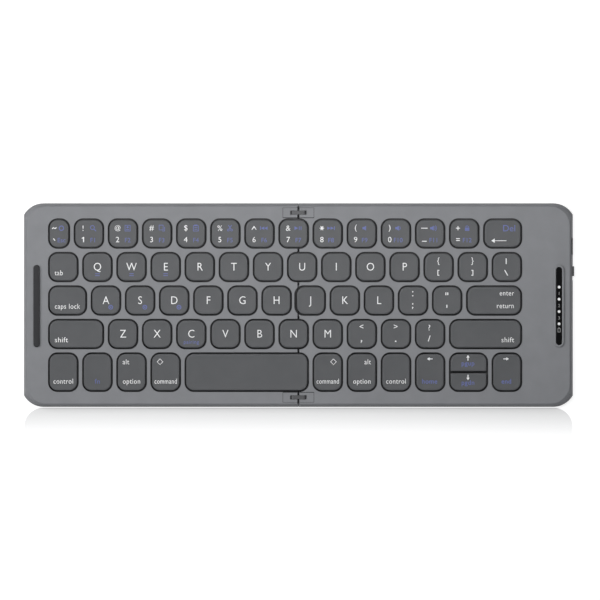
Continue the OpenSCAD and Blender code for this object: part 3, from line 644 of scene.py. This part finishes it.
# For each key node, its caps from left to right, each as a function from the cap to its marks.
LEGENDS = {
    "backtick_key": [number("tilde", "grave", "ring", "Esc", dx=-1.9, blue_dx=-1.5)],
    "keys_1_to_7": [
        number("!", "one", "search", "F1", dx=-0.2),
        number("@", "2", "select", "F2", upper_h=2.3),
        number("#", "3", "copy", "F3"),
        number("$", "4", "paste", "F4"),
        number("%", "5", "cut", "F5"),
        number("caret", "6", "back", "F6"),
        number("&", "7", "play", "F7"),
    ],
    "keys_8_to_equals": [
        number("asterisk", "8", "forward", "F8", dx=-0.2, blue_dx=-0.5),
        number("(", "9", "mute", "F9", dx=-0.4, blue_dx=-0.6),
        number(")", "0", "quiet", "F10", dx=-0.4, blue_dx=-0.9),
        number("dash", "short_dash", "loud", "F11", dx=-0.2, blue_dx=-0.3, lower_dy=-0.9),
        number("plus", "equals", "lock", "F12", dx=-0.4, blue_dx=-0.5),
    ],
    "backspace_key": [backspace],
    "tab_key": [words(("tab", WORD_Y))],
    "keys_q_to_y": letters("QWE", under("bars", 0, -4)) + letters("RTY"),
    "keys_u_to_backslash": letters("UIOP") + [
        pair("{", "bracket_left"), pair("}", "bracket_right"), pair("bar", "backslash", x=-0.4),
    ],
    "caps_lock_key": [words(("caps lock", WORD_Y))],
    "keys_a_to_h": letters("ASD", under("dot", 2.5, -3.5)) + letters("FGH"),
    "keys_j_to_quote": letters("JKL") + [
        pair("colon", "semicolon", upper_dy=0.5, lower_dy=0.2),
        pair("double_quote", "quote", upper_dy=0.5),
    ],
    "enter_key": [words(("enter", 4), ("return", -2.7), side=1, inset=WIDE_WORD_INSET)],
    "left_shift_key": [words(("shift", WORD_Y), squeeze=1.0)],
    "keys_z_to_n": letters("ZX") + letters("C", under("pairing", 0, -4.1)) + letters("VBN"),
    "keys_m_to_slash": letters("M") + [
        pair("<", "comma", upper_dy=0.9, lower_dy=-0.8),
        pair(">", "period", upper_dy=0.9, lower_dy=-0.8),
        pair("?", "slash", x=-0.5, upper_dy=0.3, lower_dy=0.7),
    ],
    "right_shift_key": [words(("shift", WORD_Y), side=1, squeeze=0.97, inset=WIDE_WORD_INSET)],
    "left_control_key": [modifier("control")],
    "fn_key": [lambda cap: [mark("fn", 0, FRONT_Y, BLUE, 2.45)]],
    "left_option_key": [modifier("option", "alt", -1)],
    "left_command_key": [modifier("command", "diamond", -1, LONG_WORD_SQUEEZE)],
    "space_bar": [lambda cap: []],
    "right_command_key": [modifier("command", "diamond", 1, LONG_WORD_SQUEEZE)],
    "right_option_key": [modifier("option", "alt", 1)],
    "right_control_key": [modifier("control")],
    "left_arrow_key": [arrow("left", "home", 7, FRONT_Y)],
    "up_arrow_key": [arrow("up", "pgup", 2.7, -0.3)],
    "down_arrow_key": [arrow("down", "pgdn", 2.1, -0.4)],
    "right_arrow_key": [arrow("right", "end", 7, FRONT_Y)],
}


def middle_y(verts):
    ys = [v[1] for v in verts]
    return (min(ys) + max(ys)) / 2


def print_marks(cap, marks, inks):
    """Adds a cap's legends to the solids of their colours, laid on its dished top."""
    for m in marks:
        what = m["what"]
        if what in ICONS:
            shapes, centre = ICONS[what], 0
        else:
            shapes = [text_solid(what, m["height"], m["align"], m["squeeze"], m["bold"])]
            # Words and digits sit by their capitals' height, so that tails don't lift them.
            by_height = len(what) > 1 or what.isalnum()
            centre = m["height"] / 2 if by_height else middle_y(shapes[0][0])
        for verts, faces in shapes:
            laid = []
            for x, y, z in verts:
                px, py = x + m["x"], y - centre + m["y"]
                laid.append((px, py, cap.top_at(px, py) + z * INK_T))
            inks[m["color"]].add(laid, faces, cap.x, cap.y)


def caps_of(node):
    """The caps of a node, from left to right: a group's caps are as wide as the tab key's."""
    (x, y, _), (whole, d, _) = middle_and_size(node)
    radii = CAP_RADII.get(node, (CAP_R,) * 4)
    count = len(LEGENDS[node])
    if count == 1:
        return [Cap(x, y, whole, d, radii)]
    pitch = (whole - CAP_W) / (count - 1)
    first = box_mm(node)[0][0] + CAP_W / 2
    return [Cap(first + k * pitch, y, CAP_W, d, radii) for k in range(count)]


def make_keys():
    """The caps of each key node, and their legends in the two inks."""
    for node, keys in LEGENDS.items():
        solids = Solids()
        inks = {WHITE: Solids(), BLUE: Solids()}
        for cap, legends in zip(caps_of(node), keys):
            solids.add(*cap.solid(), cap.x, cap.y)
            print_marks(cap, legends(cap), inks)
        body = BODY_OF[node]
        obj = solids.build(node + "_caps", MATERIALS["key_cap"], CAP_SMOOTH_ANGLE)
        place(obj, body, "key_cap", node)
        for color, printed in inks.items():
            if printed.verts:
                place(printed.build(f"{node}_{color}_legends", INKS[color]), body, "key_cap")


make_keys()


# ---------------------------------------------------------------- what gives way under the caps

SEAT_Z, DOME_TOP = (corner[2] for corner in box_mm("left_domes"))
DOME_R, DOME_TAPER, DOME_WALL = 2.8, 0.55, 0.5
# The dome's outside: the foot's edge, the waist, which lies at a share of the whole height, and
# how far the shoulder steps in and down.
DOME_FOOT_SHARE, DOME_FOOT_H = 0.93, 0.5
DOME_WAIST_SHARE, DOME_WAIST_AT = 1.12, 0.6
DOME_SHOULDER = ((0, 0.25), (0.08, 0.07), (0.25, 0))
LEVER_T, LEVER_BAR, LEVER_LEN, LEVER_W = 0.6, 0.9, 10, 10.4
LEVER_PLAY, END_PLAY, SIDE_PLAY = 0.15, 0.5, 0.3


def dome_solid(r):
    """A hollow rubber dome with a rounded shoulder and a foot that spreads out."""
    top_r = r * DOME_TAPER
    inner_r = top_r - DOME_WALL / 2
    profile = [
        (inner_r, DOME_TOP - DOME_WALL), (inner_r, SEAT_Z), (r, SEAT_Z),
        (r * DOME_FOOT_SHARE, SEAT_Z + DOME_FOOT_H),
        (top_r * DOME_WAIST_SHARE, SEAT_Z + DOME_WAIST_AT * (DOME_TOP - SEAT_Z)),
        *((top_r - step_in, DOME_TOP - step_down) for step_in, step_down in DOME_SHOULDER),
    ]
    return loft([
        [(x, y, z) for x, y in full_circle(0, 0, radius, CIRCLE_STEPS)] for radius, z in profile
    ])


def lever_solid(length, width, way):
    """A flat loop, tilted so that it reaches from the membrane to the cap."""
    turn = way * math.asin((DOME_TOP - SEAT_Z - LEVER_T) / length)
    sin, cos, middle = math.sin(turn), math.cos(turn), (DOME_TOP + SEAT_Z) / 2
    half_t = LEVER_T / 2
    rings = []
    for inset, z in ((0, -half_t), (0, half_t), (LEVER_BAR, half_t), (LEVER_BAR, -half_t)):
        half_l, half_w = length / 2 - inset, width / 2 - inset
        corners = ((half_l, half_w), (-half_l, half_w), (-half_l, -half_w), (half_l, -half_w))
        rings.append([(x * cos + z * sin, y, middle - x * sin + z * cos) for x, y in corners])
    return loft(rings, closed=True)


def make_mechanisms():
    """Each key node's domes and levers, on the body that the key is jointed to."""
    for node in LEGENDS:
        body = PARENT_OF[node]
        side = body.removesuffix("_half")
        domes, levers = Solids(), Solids()
        for cap in caps_of(node):
            length = min(LEVER_LEN, cap.w - 2 * (SKIRT + END_PLAY))
            width = min(LEVER_W, cap.w - SKIRT, cap.d - 2 * (SKIRT + SIDE_PLAY))
            inner_w = width - 2 * (LEVER_BAR + LEVER_PLAY)
            r = min(DOME_R, inner_w / 2 - LEVER_BAR - LEVER_PLAY, length / 2 - LEVER_BAR - END_PLAY)
            domes.add(*dome_solid(r), cap.x, cap.y)
            for lever_w, way in ((width, 1), (inner_w, -1)):
                levers.add(*lever_solid(length, lever_w, way), cap.x, cap.y)
        kinds = ((domes, "domes", "dome_rubber"), (levers, "scissors", "scissor_plastic"))
        for solids, name, slot in kinds:
            obj = solids.build(f"{node}_{name}", MATERIALS[slot])
            place(obj, body, slot, f"{side}_{name}")
            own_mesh(obj)


make_mechanisms()


# ---------------------------------------------------------------- strips at the two ends

# How far the painted shade line reaches in under its ring, and down into the deck.
SHADE_LINE_TUCK, SHADE_LINE_SINK = 0.05, 0.02


def strip(name, node, slot, fillet, inner_w=0, smooth_angle=SMOOTH_ANGLE):
    """A rounded strip on the deck; with inner_w it is a ring round an opening of that width."""
    (x, y, _), (w, length, _) = middle_and_size(node)
    foot, top = (corner[2] for corner in box_mm(node))

    def outer_ring(inset, z):
        return [(px, py, z) for px, py in stadium_outline(w, length, inset)]

    def inner_ring(inset, z):
        return [(px, py, z) for px, py in stadium_outline(inner_w, length - w + inner_w, -inset)]

    rings = [outer_ring(0, foot)]
    rings += [outer_ring(inset, top - drop) for inset, drop in rounding(fillet)]
    if inner_w:
        rings += [inner_ring(inset, top - drop) for inset, drop in reversed(rounding(fillet))]
        rings.append(inner_ring(0, foot))
    solids = Solids().add(*loft(rings, closed=inner_w > 0), x, y)
    place(solids.build(name, MATERIALS[slot], smooth_angle), BODY_OF[node], slot, node)


def ring_shade_line(node, width, rise):
    """Painted shade: a thin dark line round a raised ring's foot, where its seam lies in shadow."""
    (x, y, _), (w, length, _) = middle_and_size(node)
    foot = box_mm(node)[0][2]
    low, high = foot - SHADE_LINE_SINK, foot + rise
    inner, outer = stadium_outline(w, length, SHADE_LINE_TUCK), stadium_outline(w, length, -width)
    rings = [[(px, py, z) for px, py in points]
             for points, z in ((inner, low), (outer, low), (outer, high), (inner, high))]
    solids = Solids().add(*loft(rings, closed=True), x, y)
    place(solids.build(node + "_seal", MATERIALS["strip_rubber"]), BODY_OF[node], "strip_rubber")


(WINDOW_X, _, _), (WINDOW_W, _, _) = middle_and_size("indicator_window")
strip("rubber_spacer_bar", "spacer_bar", "strip_rubber", fillet=0.5)
strip("raised_window_ring", "window_ring", "case_top", fillet=0.3, inner_w=WINDOW_W)
strip("gloss_window", "indicator_window", "window_gloss", fillet=0.15, smooth_angle=5)
# Painted shade: a thin dark line round the window ring's foot.
ring_shade_line("window_ring", width=0.22, rise=0.02)


# ---------------------------------------------------------------- painted shade on fold and brackets

PIVOT = [abs(c) / MM for c in JOINTS["fold_left_pivot"]["pos_m"]]
DECK_Z = box_mm("left_top_case")[1][2]
CASE_D = middle_and_size("left_top_case")[1][1]
SHADE_STRIP_RISE, SHADE_STRIP_SINK = 0.012, 0.05
# Painted shade: a thin dark strip lies on the deck's round edges along the fold between these
# angles, and stops short of the slopes.
NOSE_R = PIVOT[0] - 0.1
SHADE_STRIP_DEPTH, SHADE_STRIP_START, SHADE_STRIP_END, SHADE_STRIP_STEPS = 0.06, 12.5, 32, 8
DECK_EDGE, SHORTEST_SHADE_STRIP = 1.9, 0.2
# The painted shade strip is cut where a hinge link's slot or the well of a key crosses the fold.
SLOT_HALF, KEY_GAP = 1.12, 0.9
FOLD_KEYS = ("keys_1_to_7", "keys_u_to_backslash", "keys_j_to_quote", "keys_z_to_n", "space_bar")
# A bracket's reach from the fold and its depth, and how wide the painted shade is in the gap on
# its end, inner and outer side.
BRACKET_START, BRACKET_W, BRACKET_D = 0.7, 8.1, 5
END_SHADE, INNER_SHADE, OUTER_SHADE = 0.2, 0.38, 0.16


def prism(points, y0, y1):
    """A solid from an outline of (x, z) points, drawn along y."""
    return loft([[(x, y, z) for x, z in points] for y in (y0, y1)])


def stretches(start, end, cuts):
    """What is left of a stretch between start and end when the cuts, sorted, are taken out."""
    left = []
    for low, high in cuts:
        left.append((start, low))
        start = high
    left.append((start, end))
    return [(a, b) for a, b in left if b - a > SHORTEST_SHADE_STRIP]


def bracket_shade_outline(side, y):
    """Painted shade on three sides of the gap round one bracket plate, as thin dark boxes."""
    inward = -1 if y > 0 else 1
    half, end = BRACKET_D / 2, side * (BRACKET_W + END_SHADE)
    inner_ys = y + inward * half, y + inward * (half + INNER_SHADE)
    outer_ys = y - inward * half, y - inward * (half + OUTER_SHADE)
    zs = DECK_Z - SHADE_STRIP_SINK, DECK_Z + SHADE_STRIP_RISE
    return [
        box_solid((side * BRACKET_START, end), inner_ys, zs),
        box_solid((side * BRACKET_START, end), outer_ys, zs),
        box_solid((side * BRACKET_W, end), (y - half, y + half), zs),
    ]


def make_fold_shade_strips():
    """Painted shade: dark strips on the fold's rounded edges and in the gap round each bracket."""
    hinge_ys = [middle_and_size(node)[0][1] for node in ("front_hinge_link", "rear_hinge_link")]
    cuts = [(y - SLOT_HALF, y + SLOT_HALF) for y in hinge_ys]
    for node in FOLD_KEYS:
        low, high = box_mm(node)
        cuts.append((low[1] - KEY_GAP, high[1] + KEY_GAP))
    free = stretches(-CASE_D / 2 + DECK_EDGE, CASE_D / 2 - DECK_EDGE, sorted(cuts))
    outer = arc(0, PIVOT[2], NOSE_R + SHADE_STRIP_RISE, SHADE_STRIP_START, SHADE_STRIP_END, SHADE_STRIP_STEPS)
    inner = arc(0, PIVOT[2], NOSE_R - SHADE_STRIP_DEPTH, SHADE_STRIP_START, SHADE_STRIP_END, SHADE_STRIP_STEPS)
    for side, body in ((-1, "left_half"), (1, "right_half")):
        shade_strip, shade_boxes = Solids(), Solids()
        profile = [(side * (PIVOT[0] - x), z) for x, z in outer + inner[::-1]]
        for y0, y1 in free:
            shade_strip.add(*prism(profile[::side], y0, y1))
        for y in hinge_ys:
            for box in bracket_shade_outline(side, y):
                shade_boxes.add(*box)
        for solids, name in ((shade_strip, "fold_liner"), (shade_boxes, "bracket_gaps")):
            place(solids.build(f"{body}_{name}", MATERIALS["strip_rubber"]), body, "strip_rubber")


make_fold_shade_strips()


# ---------------------------------------------------------------- collar of the charging port

# How much wider than the socket the collar is outside and at the socket, and narrower in front.
COLLAR_GROW, COLLAR_PLAY, COLLAR_LIP = 0.165, 0.015, 0.3
COLLAR_REACH, COLLAR_FLUSH = 1, 0.01


def make_port_collar():
    """A dark collar that fills the gap round the charging socket and ends flush with the case."""
    (_, y, z), (_, w, h) = middle_and_size("usb_c_socket")
    socket_front = box_mm("usb_c_socket")[1][0]
    back, face = socket_front - COLLAR_REACH, socket_front + COLLAR_FLUSH
    front = box_mm("right_top_case")[1][0] - COLLAR_FLUSH
    half = (w - h) / 2

    def ring(x, grow):
        r = h / 2 + grow
        outline = arc(half, 0, r, -90, 90, STRIP_STEPS) + arc(-half, 0, r, 90, 270, STRIP_STEPS)
        return [(x, y + py, z + pz) for py, pz in outline]

    rings = [
        ring(back, COLLAR_GROW), ring(front, COLLAR_GROW), ring(front, -COLLAR_LIP),
        ring(face, -COLLAR_LIP), ring(face, COLLAR_PLAY), ring(back, COLLAR_PLAY),
    ]
    obj = mesh_object("port_collar", *loft(rings, closed=True), MATERIALS["switch_plastic"])
    place(obj, BODY_OF["usb_c_socket"], "switch_plastic")


make_port_collar()


# ---------------------------------------------------------------- lamps behind the window

LAMP_YS, LAMP_R = (9.5, 3.1, -3.4, -9.9), 0.72
LABELS, LABEL_H, LABEL_DROP = ("1", "2", "3"), 1.6, 3.35


def make_lamps():
    """Four white lamp dots in the window, with three digits and a battery outline under them."""
    top = box_mm("indicator_window")[1][2]
    dots, labels = Solids(), Solids()

    def lay(solids, shapes, y):
        for verts, faces in shapes:
            laid = [(px, py, top + pz * INK_T) for px, py, pz in verts]
            solids.add(laid, faces, WINDOW_X, y)

    for k, y in enumerate(LAMP_YS):
        lay(dots, disc(0, 0, LAMP_R), y)
        below = y - LABEL_DROP
        if k < len(LABELS):
            lay(labels, [text_solid(LABELS[k], LABEL_H)], below - LABEL_H / 2)
        else:
            tip = [(-0.25, 1.2), (0.25, 1.2)]
            lay(labels, frame_box(0, 0, 1.2, 1.9, line=0.25) + strokes(0.25, tip), below)
    place(dots.build("lamp_dots", INKS[WHITE]), BODY_OF["indicator_window"], "window_gloss")
    place(labels.build("lamp_labels", INKS[GREY]), BODY_OF["indicator_window"], "window_gloss")


make_lamps()


# ---------------------------------------------------------------- cases and metal parts

FLAT_ANGLE, EDGE_ANGLE, EDGE_SEGMENTS = 0.5, 28, 2
# How wide the edges of each node are rounded.
EDGE_ROUNDING = {
    "left_top_case": 0.12, "left_bottom_case": 0.12, "left_hinge_brackets": 0.08,
    "right_top_case": 0.12, "right_bottom_case": 0.12, "right_hinge_brackets": 0.08,
    "rear_hinge_link": 0.15, "front_hinge_link": 0.15, "power_knob": 0.15, "usb_c_socket": 0.05,
}

# Flat facets are joined first, so that only real edges are rounded.
for node, width in EDGE_ROUNDING.items():
    join = NODES[node].modifiers.new("join_flat_faces", "DECIMATE")
    join.decimate_type = "DISSOLVE"
    join.angle_limit = math.radians(FLAT_ANGLE)
    round_off = NODES[node].modifiers.new("round_edges", "BEVEL")
    round_off.width = width * MM
    round_off.segments = EDGE_SEGMENTS
    round_off.limit_method = "ANGLE"
    round_off.angle_limit = math.radians(EDGE_ANGLE)
    round_off.harden_normals = True


# ---------------------------------------------------------------- flat cable across the fold

CABLE_LOW, CABLE_HIGH = box_mm("flex_cable")
CABLE_BEND, CABLE_STEPS = 9, 60


def cable_strip(name, x0, x1):
    """Half of the flat cable, between one end and the fold, in short straight steps."""
    (_, low_y, low_z), (_, high_y, high_z) = CABLE_LOW, CABLE_HIGH
    section = ((low_y, low_z), (high_y, low_z), (high_y, high_z), (low_y, high_z))
    xs = [x0 + (x1 - x0) * k / CABLE_STEPS for k in range(CABLE_STEPS + 1)]
    verts, faces = loft([[(x, y, z) for y, z in section] for x in xs])
    obj = mesh_object(name, verts, faces, MATERIALS["flex_film"])
    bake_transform(obj)
    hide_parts("flex_cable")


cable_strip("flat_cable_left", CABLE_LOW[0], 0)
cable_strip("flat_cable_right", 0, CABLE_HIGH[0])


# ---------------------------------------------------------------- floor

# The floor is lifted to white where the camera or a reflection sees it, and not at all under the
# seam of the two halves and the notches beside it. In a band in front of the object it is lifted
# less: a painted shadow, which stays on the floor however the object lies, with the object's own
# shadow showing in it too.
FLOOR_HALF_M = 3
FLOOR_COLOR = (0.45, 0.45, 0.45, 1)
LIFT, SHADOW_BAND_LIFT = 0.8, 0.39
# The painted shadow band in front: where it fades, its rear edge, half width and corner radius.
SHADE_FADE_START, SHADE_FADE_END = -57, -74
SHADE_REAR, SHADE_HALF_W, SHADE_R = -54.3, 145, 10
NOTCHES, SEAM = (9, 47), (0.6, 53.7)


def make_floor():
    half = FLOOR_HALF_M
    mesh = bpy.data.meshes.new("floor")
    corners = [(-half, -half, 0), (half, -half, 0), (half, half, 0), (-half, half, 0)]
    mesh.from_pydata(corners, [], [(0, 1, 2, 3)])
    floor = new_object("floor", mesh)
    material = bpy.data.materials.new("floor")
    nodes, links = node_tree(material)
    nodes.clear()
    out = nodes.new("ShaderNodeOutputMaterial")
    diffuse = nodes.new("ShaderNodeBsdfDiffuse")
    diffuse.inputs["Color"].default_value = FLOOR_COLOR
    glow, both = nodes.new("ShaderNodeEmission"), nodes.new("ShaderNodeAddShader")
    rays = nodes.new("ShaderNodeLightPath")
    where, split = nodes.new("ShaderNodeTexCoord"), nodes.new("ShaderNodeSeparateXYZ")
    links.new(where.outputs["Object"], split.inputs[0])

    def math_node(operation, first, second):
        node = nodes.new("ShaderNodeMath")
        node.operation = operation
        for socket, value in zip(node.inputs, (first, second)):
            if isinstance(value, (int, float)):
                socket.default_value = value
            else:
                links.new(value, socket)
        return node.outputs[0]

    def outside(axis, limit):
        return math_node("GREATER_THAN", math_node("ABSOLUTE", split.outputs[axis], 0), limit * MM)

    def past_squared(value, limit):
        past = math_node("MAXIMUM", math_node("SUBTRACT", value, limit * MM), 0)
        return math_node("MULTIPLY", past, past)

    fade = (SHADE_FADE_END * MM, SHADE_FADE_START * MM)
    shadow_band = map_range(nodes, links, split.outputs["Y"], fade, (LIFT, SHADOW_BAND_LIFT))
    # The painted shadow's rear corners are rounded as the case's are.
    aside = past_squared(math_node("ABSOLUTE", split.outputs["X"], 0), SHADE_HALF_W - SHADE_R)
    corner = math_node("ADD", aside, past_squared(split.outputs["Y"], SHADE_REAR - SHADE_R))
    place_lift = nodes.new("ShaderNodeMix")
    links.new(math_node("GREATER_THAN", corner, (SHADE_R * MM) ** 2), place_lift.inputs["Factor"])
    links.new(shadow_band.outputs[0], place_lift.inputs["A"])
    place_lift.inputs["B"].default_value = LIFT
    seen = math_node("MAXIMUM", rays.outputs["Is Camera Ray"], rays.outputs["Is Glossy Ray"])
    seen = math_node("MAXIMUM", seen, rays.outputs["Is Transmission Ray"])
    open_floor = math_node("MULTIPLY", *(
        math_node("MAXIMUM", outside("X", half_w), outside("Y", half_d))
        for half_w, half_d in (NOTCHES, SEAM)
    ))
    seen = math_node("MULTIPLY", seen, open_floor)
    strength = math_node("MULTIPLY", seen, place_lift.outputs["Result"])
    links.new(strength, glow.inputs["Strength"])
    links.new(diffuse.outputs[0], both.inputs[0])
    links.new(glow.outputs[0], both.inputs[1])
    links.new(both.outputs[0], out.inputs["Surface"])
    mesh.materials.append(material)


make_floor()


# ---------------------------------------------------------------- light

SEEN_COLOR, SKY_COLOR = (1, 1, 1, 1), (0.94, 0.97, 1, 1)
ZENITH_LIGHT, HORIZON_LIGHT, SKY_HEIGHTS = 0.34, 0.05, (0.1, 0.9)
# The sky is weaker on the right and at the rear, where the photograph's outer slopes are dark.
LEFT_AND_FRONT, RIGHT_AND_REAR = 1.5, 0.5

# Area lamps, in metres and watts: place, the point it aims at, width, depth and power.
LAMPS = {
    "long_lamp": ((0.02, 0.06, 0.19), (0.02, 0.06, 0), 0.9, 0.04, 0.2),
    "short_lamp": ((0.01, 0.06, 0.35), (0.01, 0.06, 0), 0.3, 0.04, 0.43),
    "left_lamp": ((-0.6, 0.12, 0.6), (0, 0, 0), 0.4, 0.4, 3.0),
}


def make_world():
    """White to the camera, and soft light from above that fades out towards the horizon."""
    world = bpy.data.worlds.new("studio")
    bpy.context.scene.world = world
    nodes, links = node_tree(world)
    nodes.clear()
    out = nodes.new("ShaderNodeOutputWorld")
    seen, soft = nodes.new("ShaderNodeBackground"), nodes.new("ShaderNodeBackground")
    seen.inputs["Color"].default_value = SEEN_COLOR
    soft.inputs["Color"].default_value = SKY_COLOR
    where, split = nodes.new("ShaderNodeTexCoord"), nodes.new("ShaderNodeSeparateXYZ")
    links.new(where.outputs["Generated"], split.inputs[0])
    height = map_range(nodes, links, split.outputs["Z"], SKY_HEIGHTS, (HORIZON_LIGHT, ZENITH_LIGHT))
    height.interpolation_type = "SMOOTHSTEP"
    strength = height.outputs[0]
    sides = (LEFT_AND_FRONT, RIGHT_AND_REAR)
    for axis in ("X", "Y"):
        factor = map_range(nodes, links, split.outputs[axis], (-1, 1), sides)
        product = nodes.new("ShaderNodeMath")
        product.operation = "MULTIPLY"
        links.new(strength, product.inputs[0])
        links.new(factor.outputs[0], product.inputs[1])
        strength = product.outputs[0]
    links.new(strength, soft.inputs["Strength"])
    rays, choose = nodes.new("ShaderNodeLightPath"), nodes.new("ShaderNodeMixShader")
    links.new(rays.outputs["Is Camera Ray"], choose.inputs["Fac"])
    links.new(soft.outputs[0], choose.inputs[1])
    links.new(seen.outputs[0], choose.inputs[2])
    links.new(choose.outputs[0], out.inputs["Surface"])


def make_lamp(name, place_at, aim, width, depth, watts):
    light = bpy.data.lights.new(name, "AREA")
    light.shape, light.size, light.size_y, light.energy = "RECTANGLE", width, depth, watts
    obj = new_object(name, light)
    obj.location = place_at
    obj.visible_camera = False
    obj.rotation_euler = (Vector(aim) - Vector(place_at)).to_track_quat("-Z", "Y").to_euler()


make_world()
for name, values in LAMPS.items():
    make_lamp(name, *values)


# ---------------------------------------------------------------- camera

# The camera looks straight down: one pixel is this wide at the deck, in a picture this wide.
PIXEL_MM, PICTURE_PIXELS = 0.5276, 600
VIEW_X, VIEW_Y = 0.845, 2.68
LENS_MM, SENSOR_MM = 420, 36
CLIP_END_M = 20


def make_camera():
    data = bpy.data.cameras.new("camera")
    data.sensor_width, data.lens = SENSOR_MM, LENS_MM
    data.clip_end = CLIP_END_M
    camera = new_object("camera", data)
    distance = LENS_MM / SENSOR_MM * PICTURE_PIXELS * PIXEL_MM
    camera.location = (VIEW_X * MM, VIEW_Y * MM, (DECK_Z + distance) * MM)
    bpy.context.scene.camera = camera


make_camera()
bpy.context.scene.view_settings.view_transform = "Standard"
